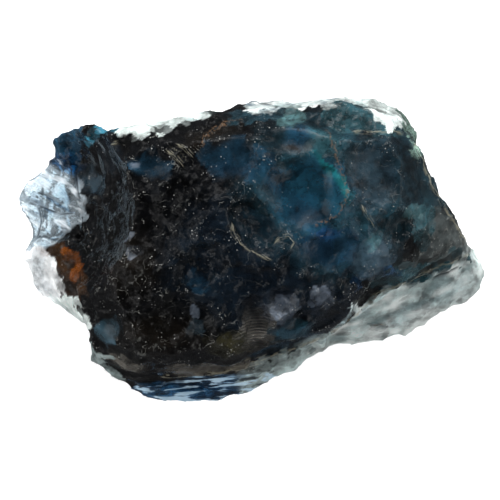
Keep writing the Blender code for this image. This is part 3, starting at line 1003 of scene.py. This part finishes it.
class Ground:
    """A material's node tree, with what its patterns read on the skin."""

    def __init__(self, material: bpy.types.Material, unevenness: float) -> None:
        """Clears a material's nodes and adds those that read the skin.

        Args:
            material: The material.
            unevenness: How far the edges of the small flat breaks wander, in millimetres.
        """
        material.use_nodes = True
        self.tree = material.node_tree
        self.tree.nodes.clear()
        read = add_node(self.tree, "ShaderNodeTexCoord").outputs["Object"]
        self.place = add_node(
            self.tree, "ShaderNodeVectorMath", {0: read, "Scale": 1 / MM}, operation="SCALE"
        )
        pattern = {"Vector": self.place, "Scale": 5.0, "Detail": 2.0}
        sway = add_node(self.tree, "ShaderNodeTexNoise", pattern, normalize=False).outputs["Color"]
        self.bent = add_node(
            self.tree, "ShaderNodeVectorMath", (sway, (unevenness,) * 3, self.place), operation="MULTIPLY_ADD"
        )
        parts = [f"{kind.value}_{part}" for kind in LineKind for part in LINE_PARTS]
        names = (*MARKS, *parts, *(streaks.patch.name for streaks in STREAKS))
        self.marks = {
            name: add_node(self.tree, "ShaderNodeAttribute", attribute_name=name).outputs["Fac"]
            for name in names
        }


@dataclass(frozen=True)
class RoughSapphire:
    """Natural rough sapphire: clear corundum that broke in shells, coloured by iron and titanium.

    It is one transparent, glassy body with a high gloss on its fresh breaks. What the eye gets is a
    stone that is nearly black where it is thick, with navy and teal windows, fine pale grains on its
    edges with painted glints, painted shade in its hollows and painted light on its rims, rust in its
    cracks, and clear pale blue where it is thin.

    Attributes:
        ior: Refractive index of corundum.
        mottle: Size of the clouds in its colour, in millimetres.
        facet: Size of the small flat breaks, in millimetres.
        unevenness: How far their edges wander, in millimetres.
        speck: Size of the pale specks, partly chips and partly painted glints, coarser than the real ones so
            that they show, in millimetres.
        hair: How far the hairlines lie apart, in millimetres.
        ripple: How far the ripples of the ribbed hollow lie apart, in millimetres.
        ripple_middle: The point that they run round, in millimetres.
        bump: Height of the finest relief, in metres.
        absorption: Colour that is left after one absorption length.
        density: Absorption lengths in a metre.
        gloss: Specular level of the skin.
        milkiness: How far a pale mark takes the clearness away.
    """

    ior: float = 1.77
    mottle: float = 0.55
    facet: float = 0.17
    unevenness: float = 0.06
    speck: float = 0.042
    hair: float = 0.42
    ripple: float = 0.08
    ripple_middle: tuple[float, float, float] = (0.2, -3.2, 4.2)
    bump: float = 0.000012
    absorption: str = "#5fb2d0"
    density: float = 900.0
    gloss: float = 0.3
    milkiness: float = 0.8

    def build(self) -> bpy.types.Material:
        """Makes the material.

        Returns:
            The material, which reads the marks on the skin.
        """
        material = bpy.data.materials.new("rough_sapphire")
        ground = Ground(material, self.unevenness)
        tree = ground.tree
        tint, body = (
            add_node(tree, "ShaderNodeAttribute", attribute_name=name).outputs["Vector"]
            for name in ("tint", "body")
        )
        clarity, roughness, grit_and_glint = add_node(tree, "ShaderNodeSeparateXYZ", (body,)).outputs
        # The pale marks, partly painted glints, gather on the rims of the bowls and thin out in their hollows
        gathered = add_node(
            tree,
            "ShaderNodeMapRange",
            (ground.marks["rim"], 0.0, 0.7, 0.3, 1.3),
            interpolation_type="SMOOTHSTEP",
        )
        drift = add_node(tree, "ShaderNodeMath", (grit_and_glint, gathered), operation="MULTIPLY")

        # What shows of each pattern is the product of its factors
        patterns = {
            "pale": self.chipped_edges_and_glints(ground, drift),
            "wisps": self.wisps(ground, drift),
            "specks": self.specks(ground, drift),
            **{kind: self.line(ground, kind) for kind in LineKind},
        }
        masks = {}
        for name, (mask, *factors) in patterns.items():
            for factor in factors:
                mask = add_node(tree, "ShaderNodeMath", (mask, factor), operation="MULTIPLY")
            masks[name] = mask

        layers, height = self.streaks(ground)
        clouded = [mask for name, mask in masks.items() if name != "wisps"]
        clouded += [mask for _, mask, _ in layers[1::2]]
        # The pale edges, hairlines and specks: chips of the stone with painted glints
        layers += [("#8a8c88", masks["pale"], 0.3), ("#a9a9a2", masks["wisps"], 0.75)]
        layers += [("#c4c5c0", masks["specks"], 0.9)]
        layers += [(look.colour, masks[kind], look.strength) for kind, look in LINE_LOOKS.items()]
        colour = self.mottled_with_painted_shade(ground, tint)
        for shade, mask, strength in layers:
            share = add_node(tree, "ShaderNodeMath", (mask, strength), operation="MULTIPLY", use_clamp=True)
            mixed = {0: share, 6: colour, 7: linear(shade)}
            colour = add_node(tree, "ShaderNodeMix", mixed, data_type="RGBA").outputs[2]
        clear = clarity
        for mask in clouded:
            left = add_node(tree, "ShaderNodeMath", (mask, -self.milkiness, 1.0), operation="MULTIPLY_ADD")
            clear = add_node(tree, "ShaderNodeMath", (clear, left), operation="MULTIPLY", use_clamp=True)

        shader = add_node(
            tree,
            "ShaderNodeBsdfPrincipled",
            {
                "Base Color": colour,
                "Roughness": roughness,
                "IOR": self.ior,
                "Transmission Weight": clear,
                "Specular IOR Level": self.gloss,
                "Normal": self.relief(ground, height),
            },
        )
        volume = add_node(tree, "ShaderNodeVolumeAbsorption", (linear(self.absorption), self.density))
        add_node(tree, "ShaderNodeOutputMaterial", {"Surface": shader, "Volume": volume})
        return material

    def mottled_with_painted_shade(self, ground: Ground, colour: bpy.types.NodeSocket) -> bpy.types.NodeSocket:
        """Clouds the colour, gives each small facet its own tone, and paints shade into the hollows and light
        onto the rims of the bowls.

        Args:
            ground: The tree and what it reads on the skin.
            colour: The colour of the zones.

        Returns:
            The clouded colour, with its painted shade and light.
        """
        tree = ground.tree
        clouds = {"Vector": ground.place, "Scale": 1 / self.mottle, "Detail": 5.0, "Roughness": 0.6}
        tone = add_node(
            tree,
            "ShaderNodeMath",
            (ground.marks["shell_dice"], 0.24, add_node(tree, "ShaderNodeTexNoise", clouds)),
            operation="MULTIPLY_ADD",
        )
        # Large and small facets, and how far their tones differ
        for size, weight in ((self.facet, 0.12), (self.facet / 2.3, 0.1)):
            cells = add_node(
                tree, "ShaderNodeTexVoronoi", {"Vector": ground.bent, "Scale": 1 / size}, feature="F1"
            )
            dice = add_node(tree, "ShaderNodeSeparateColor", (cells.outputs["Color"],))
            tone = add_node(tree, "ShaderNodeMath", (dice, weight, tone), operation="MULTIPLY_ADD")
        light = add_node(tree, "ShaderNodeMapRange", (tone, 0.5, 0.95, 0.35, 1.7))
        # Painted shade in the hollows and painted light on the rims: the colour darkens where the skin sinks
        # below the bowl around it and brightens where it stands out
        hollow = add_node(tree, "ShaderNodeMapRange", (ground.marks["rim"], -0.6, 0.6, 0.6, 1.4))
        both = add_node(tree, "ShaderNodeMath", (light, hollow), operation="MULTIPLY")
        return add_node(
            tree, "ShaderNodeVectorMath", {0: colour, "Scale": both}, operation="SCALE"
        ).outputs[0]

    def specks(self, ground: Ground, grit_and_glint: bpy.types.Node) -> tuple[bpy.types.Node, ...]:
        """Adds the pale specks that lie in drifts on the rough breaks: partly chips, and partly painted
        glints of the tiny facets.

        Args:
            ground: The tree and what it reads on the skin.
            grit_and_glint: How thick the specks lie, from 0 to 1.

        Returns:
            The factors of how much of it shows.
        """
        tree = ground.tree
        pattern = {"Vector": ground.place, "Scale": 1 / self.speck}
        grains = add_node(tree, "ShaderNodeTexVoronoi", pattern, feature="F1")
        dice = add_node(tree, "ShaderNodeSeparateColor", (grains.outputs["Color"],))
        drifts = add_node(
            tree, "ShaderNodeTexNoise", {"Vector": ground.place, "Scale": 2.2, "Detail": 4.0}
        )
        thick = add_node(tree, "ShaderNodeMapRange", (drifts, 0.47, 0.72, 0.0, 0.8))
        share = add_node(tree, "ShaderNodeMath", (thick, grit_and_glint), operation="MULTIPLY")
        kept = add_node(tree, "ShaderNodeMath", (dice, share), operation="LESS_THAN")
        dot = add_node(tree, "ShaderNodeMapRange", (grains, 0.55, 0.15), interpolation_type="SMOOTHSTEP")
        bright = add_node(tree, "ShaderNodeMath", (dice.outputs[1], 2.5), operation="POWER")
        return kept, dot, bright

    def wisps(self, ground: Ground, grit_and_glint: bpy.types.Node) -> tuple[bpy.types.Node, ...]:
        """Adds pale hairlines: the broken, curved edges of the thinnest shells, with painted glints along
        them.

        Args:
            ground: The tree and what it reads on the skin.
            grit_and_glint: How rough the place is, from 0 to 1.

        Returns:
            The factors of how much of a hairline shows.
        """
        tree = ground.tree
        pattern = {"Vector": ground.place, "Scale": 1 / self.hair, "Detail": 2.5}
        field = add_node(tree, "ShaderNodeTexNoise", pattern, normalize=False)
        size = add_node(tree, "ShaderNodeMath", (field,), operation="ABSOLUTE")
        thin = add_node(tree, "ShaderNodeMapRange", (size, 0.035, 0.0), interpolation_type="SMOOTHSTEP")
        gaps = add_node(tree, "ShaderNodeTexNoise", {"Vector": ground.place, "Scale": 3.1, "Detail": 3.0})
        return thin, add_node(tree, "ShaderNodeMapRange", (gaps, 0.5, 0.62)), grit_and_glint

    def chipped_edges_and_glints(self, ground: Ground, grit_and_glint: bpy.types.Node) -> tuple[bpy.types.Node, ...]:
        """Adds the pale, chipped look of the sharp edges between shells, with painted glints along them.

        Args:
            ground: The tree and what it reads on the skin.
            grit_and_glint: How rough the place is, from 0 to 1.

        Returns:
            The factors of how much of the pale edge, chipped and painted with a glint, shows.
        """
        tree = ground.tree
        ragged = add_node(
            tree, "ShaderNodeTexNoise", {"Vector": ground.place, "Scale": 9.0, "Detail": 4.0}
        )
        shifted = add_node(tree, "ShaderNodeMath", (ragged, 1.6, -1.0), operation="MULTIPLY_ADD")
        total = add_node(tree, "ShaderNodeMath", (ground.marks["crest"], shifted), operation="ADD")
        edge = add_node(tree, "ShaderNodeMapRange", (total, 0.2, 0.9), interpolation_type="SMOOTHSTEP")
        return edge, grit_and_glint

    def line(self, ground: Ground, kind: LineKind) -> tuple[object, ...]:
        """Adds one kind of line, ragged and broken.

        Args:
            ground: The tree and what it reads on the skin.
            kind: Which lines.

        Returns:
            The factors of how much of the line shows.
        """
        tree, look = ground.tree, LINE_LOOKS[kind]
        across, along, near = (ground.marks[f"{kind.value}_{part}"] for part in LINE_PARTS)
        drawn = add_node(tree, "ShaderNodeCombineXYZ", (across, along))
        scaled = add_node(tree, "ShaderNodeVectorMath", (drawn, look.strand), operation="MULTIPLY")
        pattern = {"Vector": scaled, "Scale": 1.0, "Detail": 2.0}
        strands = add_node(tree, "ShaderNodeTexNoise", pattern, noise_dimensions="2D")
        size = add_node(tree, "ShaderNodeMath", (across,), operation="ABSOLUTE")
        thin, there = (
            add_node(tree, "ShaderNodeMapRange", values, interpolation_type="SMOOTHSTEP")
            for values in ((size, look.width, 0.0), (strands, look.gaps, look.gaps + LINE_FADE))
        )
        return thin, there, near

    def streaks(self, ground: Ground) -> tuple[list[tuple[str, bpy.types.Node, float]], object]:
        """Adds the dark and pale streaks of the clear parts.

        Args:
            ground: The tree and what it reads on the skin.

        Returns:
            Their layers, dark and pale in turn, each with a colour, where it lies and how far it
            covers, and their relief.
        """
        tree = ground.tree
        height: object = 0.0
        layers = []
        for streaks in STREAKS:
            long, wide = streaks.size
            placed = {
                "Vector": ground.place,
                "Rotation": (0, 0, math.radians(streaks.turn)),
                "Scale": (long, wide, 2 * wide),
            }
            drawn = add_node(tree, "ShaderNodeMapping", placed, vector_type="TEXTURE")
            pattern = add_node(
                tree, "ShaderNodeTexNoise", {"Vector": drawn, "Detail": 3.0, "Scale": 1.0}
            )
            part = ground.marks[streaks.patch.name]
            for colour, share, fade in (
                (streaks.dark, streaks.dark_share, -streaks.fade),
                (streaks.pale, streaks.pale_share, streaks.fade),
            ):
                there = add_node(
                    tree,
                    "ShaderNodeMapRange",
                    (pattern, share, share + fade),
                    interpolation_type="SMOOTHSTEP",
                )
                mask = add_node(tree, "ShaderNodeMath", (there, part), operation="MULTIPLY")
                layers.append((colour, mask, STREAK_STRENGTH))
            raised = add_node(tree, "ShaderNodeMath", (pattern, part), operation="MULTIPLY")
            height = add_node(
                tree, "ShaderNodeMath", (raised, streaks.relief, height), operation="MULTIPLY_ADD"
            )
        return layers, height

    def relief(self, ground: Ground, height: bpy.types.Node) -> bpy.types.Node:
        """Adds the finest relief: grain, small flat breaks that each lean their own way, and ripples.

        Args:
            ground: The tree and what it reads on the skin.
            height: The height of the streaks.

        Returns:
            The node of the bumped normal.
        """
        tree = ground.tree
        rough = add_node(tree, "ShaderNodeMath", (1.0, ground.marks["calm"]), operation="SUBTRACT")
        grain = add_node(tree, "ShaderNodeTexNoise", {"Vector": ground.place, "Scale": 7.0, "Detail": 4.0})
        pattern = {"Vector": ground.bent, "Scale": 1 / self.facet}
        cells = add_node(tree, "ShaderNodeTexVoronoi", pattern, feature="F1").outputs
        across, way = (
            add_node(tree, "ShaderNodeVectorMath", pair, operation="SUBTRACT")
            for pair in ((ground.bent, cells["Position"]), (cells["Color"], HALF))
        )
        facets = add_node(tree, "ShaderNodeVectorMath", (across, way), operation="DOT_PRODUCT")
        away = add_node(
            tree, "ShaderNodeVectorMath", (ground.place, self.ripple_middle), operation="DISTANCE"
        ).outputs["Value"]
        rings = add_node(tree, "ShaderNodeMath", (away, 2 * math.pi / self.ripple), operation="MULTIPLY")
        waves = add_node(tree, "ShaderNodeMath", (rings,), operation="SINE")
        # Each pattern, how high it stands and where it lies
        for pattern, weight, mask in (
            (grain, 0.3, 1.0),
            (grain, 0.9, rough),
            (facets.outputs["Value"], 24.0, rough),
            (waves, 1.3, ground.marks["ripples"]),
        ):
            shown = add_node(tree, "ShaderNodeMath", (pattern, mask), operation="MULTIPLY")
            height = add_node(tree, "ShaderNodeMath", (shown, weight, height), operation="MULTIPLY_ADD")
        bumped = {"Height": height, "Distance": self.bump, "Strength": 1.0}
        return add_node(tree, "ShaderNodeBump", bumped)


@dataclass(frozen=True)
class Crystal:
    """The stone itself.

    Attributes:
        grain: The distance between the points of its skin, in millimetres.
        rounding: How often the solid's flat facets are softened.
        front: How far the skin faces up where its broken front starts, and over what it fades in.
        grit_and_glint: How the pale marks thin out as the skin turns from facing up, which paints shade on
            the walls: the gain, the share taken off, and the least.
        bowl: Averaging rounds that are as wide as a bowl, and the height of its rim, in millimetres.
        edge: Averaging rounds that are as wide as an edge, and its height, in millimetres.
    """

    grain: float = 0.058
    rounding: int = 2
    front: tuple[float, float] = (0.05, 0.25)
    grit_and_glint: tuple[float, float, float] = (1.8, 0.4, 0.1)
    bowl: tuple[int, float] = (40, 0.05)
    edge: tuple[int, float] = (5, 0.025)

    def build(self) -> bpy.types.Object:
        """Makes the stone in the solid's place.

        Returns:
            The piece, which stands for the solid and rides on its body.
        """
        stone = self.fine_copy(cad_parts[SOLID])
        skin = Skin(stone.data)
        skin.move(skin.smoothed(skin.points, self.rounding))
        skin = Skin(stone.data)
        self.tint(skin, self.faces(stone.data), self.mark(skin))
        BrokenSkin().apply(stone, RoughSapphire().build())
        self.settle(Skin(stone.data))
        stone.data.transform(Matrix.Scale(MM, 4))
        stone.data.shade_smooth()
        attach(stone, "root")
        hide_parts(SOLID)
        return stone

    def fine_copy(self, solid: bpy.types.Object) -> bpy.types.Object:
        """Copies the solid's mesh in millimetres, with its points evenly spread.

        Args:
            solid: The solid's object.

        Returns:
            A new object.
        """
        shape = bmesh.new()
        shape.from_mesh(solid.data)
        bmesh.ops.scale(shape, vec=(1 / MM, 1 / MM, 1 / MM), verts=shape.verts)
        bmesh.ops.remove_doubles(shape, verts=shape.verts, dist=1e-4)
        mesh = bpy.data.meshes.new("crystal")
        shape.to_mesh(mesh)
        shape.free()
        stone = bpy.data.objects.new("crystal", mesh)
        bpy.context.scene.collection.objects.link(stone)
        remesh = stone.modifiers.new("even_points", "REMESH")
        remesh.mode = "VOXEL"
        remesh.voxel_size = self.grain
        keep_shape(stone)
        return stone

    def faces(self, mesh: bpy.types.Mesh) -> BVHTree:
        """A tree of the faces of a mesh, which finds where a line meets it."""
        shape = bmesh.new()
        shape.from_mesh(mesh)
        tree = BVHTree.FromBMesh(shape)
        shape.free()
        return tree

    def tint(self, skin: Skin, stone: BVHTree, calm: np.ndarray) -> None:
        """Lays the zones over each other on the skin.

        Args:
            skin: The stone's skin.
            stone: Its faces.
            calm: How smooth the skin is at each point, from 0 to 1.
        """
        places = skin.shattered(calm)
        start = Look.COAL.value
        colour = np.tile(linear(start.colour)[:3], (len(places), 1))
        body = np.tile((start.clarity, start.roughness, start.grit_and_glint), (len(places), 1))
        for zone in ZONES:
            look = zone.look.value
            share = zone.mask(places, stone)[:, None]
            colour += share * (np.array(linear(look.colour)[:3]) - colour)
            body += share * (np.array((look.clarity, look.roughness, look.grit_and_glint)) - body)
        # Painted shade on the walls: the pale specks, hairlines and edges thin out where the skin faces to
        # the side
        gain, loss, least = self.grit_and_glint
        body[:, 2] *= np.clip(skin.normals[:, 2] * gain - loss, least, 1)
        skin.store("tint", colour)
        skin.store("body", body)
        for streaks in STREAKS:
            skin.store(streaks.patch.name, streaks.patch.mask(places, stone))
        skin.store("ripples", RIPPLES.mask(places, stone))
        rounds, height = self.bowl
        skin.store("rim", np.clip(skin.standing_out(rounds) / height, -1, 1))

    def mark(self, skin: Skin) -> np.ndarray:
        """Marks the smooth places and the lines on the skin.

        Args:
            skin: The stone's skin.

        Returns:
            How whole the skin is at each point, from 0 on the broken front to 1 on the walls.
        """
        flat = skin.points[:, :2]
        start, fade = self.front
        front = np.clip((skin.normals[:, 2] - start) / fade, 0, 1)
        calm = np.zeros(len(flat))
        for place in SMOOTH_PLACES:
            gone = np.linalg.norm((flat - place.at) / place.reach, axis=1)
            calm = np.maximum(calm, place.calm * np.clip((CALM_END - gone) / CALM_FADE, 0, 1))
        skin.store("calm", calm * front)
        for kind in LineKind:
            across = np.full(len(flat), FAR)
            along = np.zeros(len(flat))
            near = np.zeros(len(flat))
            for line in (line for line in LINES if line.kind is kind):
                gap, gone, inside = line.measure(flat)
                closer = np.abs(gap) < np.abs(across)
                ends = np.clip(inside / LINE_END, 0, 1)
                beside = np.clip(2 - np.abs(gap) / LINE_NEAR, 0, 1)
                near = np.where(closer, ends * beside * front, near)
                along = np.where(closer, gone, along)
                across = np.where(closer, gap, across)
            skin.store(f"{kind.value}_across", np.clip(across, -1, 1))
            skin.store(f"{kind.value}_along", along)
            skin.store(f"{kind.value}_near", near)
        return np.maximum(calm * front, 1 - front)

    def settle(self, skin: Skin) -> None:
        """Keeps the skin above the surface that the stone lies on, and marks how its edges stand out.

        Args:
            skin: The stone's skin.
        """
        skin.points[:, 2] = np.maximum(skin.points[:, 2], 0)
        skin.move(skin.points)
        rounds, height = self.edge
        skin.store("crest", np.clip(skin.standing_out(rounds) / height, -1, 1))


@dataclass(frozen=True)
class Studio:
    """A pale floor, soft lights and the camera, which looks straight down.

    Attributes:
        floor: Half the side of the floor, in metres.
        floor_glow: How far the floor shines by itself, like a light table.
        lamps: Name, place and side in metres, and power in watts, of each light that isn't mirrored.
        glint_far: How far the mirrored lights stand from the stone, in metres.
        glint_size: Their side, in metres.
        glint_power: Their power, in watts.
        distance: How far the camera stands from the middle of the stone's height, in metres.
        middle: The height of that middle, in metres.
        span: What the camera sees from side to side there, in metres.
        sensor: The width of its sensor, in millimetres.
    """

    floor: float = 2.0
    floor_glow: float = 0.75
    lamps: tuple[tuple[str, tuple[float, float, float], float, float], ...] = (
        ("key", (-0.02, 0.26, 0.16), 0.22, 1.2),
        ("right", (0.25, 0.02, 0.14), 0.18, 0.45),
        ("left", (-0.25, -0.08, 0.12), 0.18, 0.55),
    )
    glint_far: float = 0.3
    glint_size: float = 0.12
    glint_power: float = 0.02
    distance: float = 0.2
    middle: float = 0.0027
    span: float = 0.01316
    sensor: float = 36.0

    def build(self) -> None:
        """Makes the floor, the sky, the lights and the camera."""
        bpy.context.scene.view_settings.view_transform = "Standard"
        self.make_floor()
        self.make_sky()
        for lamp in self.lamps:
            self.make_light(*lamp)
        for i, (azimuth, elevation) in enumerate(GLINTS):
            a, e = math.radians(azimuth), math.radians(elevation)
            way = (math.cos(a) * math.cos(e), math.sin(a) * math.cos(e), math.sin(e))
            at = tuple(self.glint_far * part for part in way)
            self.make_light(f"glint_{i}", at, self.glint_size, self.glint_power, glossy=True)
        self.make_camera()

    def make_floor(self) -> bpy.types.Object:
        """Makes the floor.

        Returns:
            The floor's object.
        """
        shape = bmesh.new()
        bmesh.ops.create_grid(shape, x_segments=1, y_segments=1, size=self.floor)
        mesh = bpy.data.meshes.new("floor")
        shape.to_mesh(mesh)
        shape.free()
        floor = bpy.data.objects.new("floor", mesh)
        bpy.context.scene.collection.objects.link(floor)
        material = bpy.data.materials.new("opal_acrylic")
        material.use_nodes = True
        tree = material.node_tree
        tree.nodes.clear()
        finish = {
            "Base Color": linear("#f4f4f4"),
            "Roughness": 0.8,
            "Specular IOR Level": 0.1,
            "Emission Color": (1, 1, 1, 1),
            "Emission Strength": self.floor_glow,
        }
        shader = add_node(tree, "ShaderNodeBsdfPrincipled", finish)
        add_node(tree, "ShaderNodeOutputMaterial", {"Surface": shader})
        mesh.materials.append(material)
        floor.visible_glossy = False
        return floor

    def make_sky(self) -> None:
        """Makes a sky that is pale at the horizon and dim overhead, so that the stone stays deep."""
        world = bpy.data.worlds.new("studio")
        bpy.context.scene.world = world
        world.use_nodes = True
        tree = world.node_tree
        tree.nodes.clear()
        around = add_node(tree, "ShaderNodeTexCoord").outputs["Generated"]
        height = add_node(tree, "ShaderNodeSeparateXYZ", (around,)).outputs["Z"]
        light = add_node(
            tree, "ShaderNodeMapRange", (height, 0.05, 0.6, 0.09, 0.02), interpolation_type="SMOOTHSTEP"
        )
        sky = add_node(tree, "ShaderNodeBackground", ((1, 1, 1, 1), light))
        add_node(tree, "ShaderNodeOutputWorld", {"Surface": sky})

    def make_light(
        self, name: str, at: Sequence[float], size: float, power: float, glossy: bool = False
    ) -> None:
        """Makes a soft square light that shines on the stone.

        Args:
            name: Its name.
            at: Where it stands, in metres.
            size: Its side, in metres.
            power: Its power, in watts.
            glossy: Whether the stone mirrors it, or else is only lit by it.
        """
        lamp = bpy.data.lights.new(name, "AREA")
        lamp.energy = power
        lamp.size = size
        obj = bpy.data.objects.new(name, lamp)
        obj.visible_glossy = glossy
        obj.visible_diffuse = not glossy
        obj.location = at
        obj.rotation_euler = Vector(at).to_track_quat("Z", "Y").to_euler()
        bpy.context.scene.collection.objects.link(obj)

    def make_camera(self) -> None:
        """Makes the camera."""
        lens = bpy.data.cameras.new("camera")
        lens.sensor_width = self.sensor
        lens.lens = self.sensor * self.distance / self.span
        lens.clip_start = 0.01
        lens.clip_end = 10
        camera = bpy.data.objects.new("camera", lens)
        camera.location = (0, 0, self.middle + self.distance)
        bpy.context.scene.collection.objects.link(camera)
        bpy.context.scene.camera = camera


def main() -> None:
    """Builds the stone and its studio."""
    logging.basicConfig(level=logging.INFO, format="%(name)s: %(message)s")
    stone = Crystal().build()
    LOG.info("%s has %d faces", stone.name, len(stone.data.polygons))
    Studio().build()
    LOG.info("the studio is set")


if __name__ == "__main__":
    main()
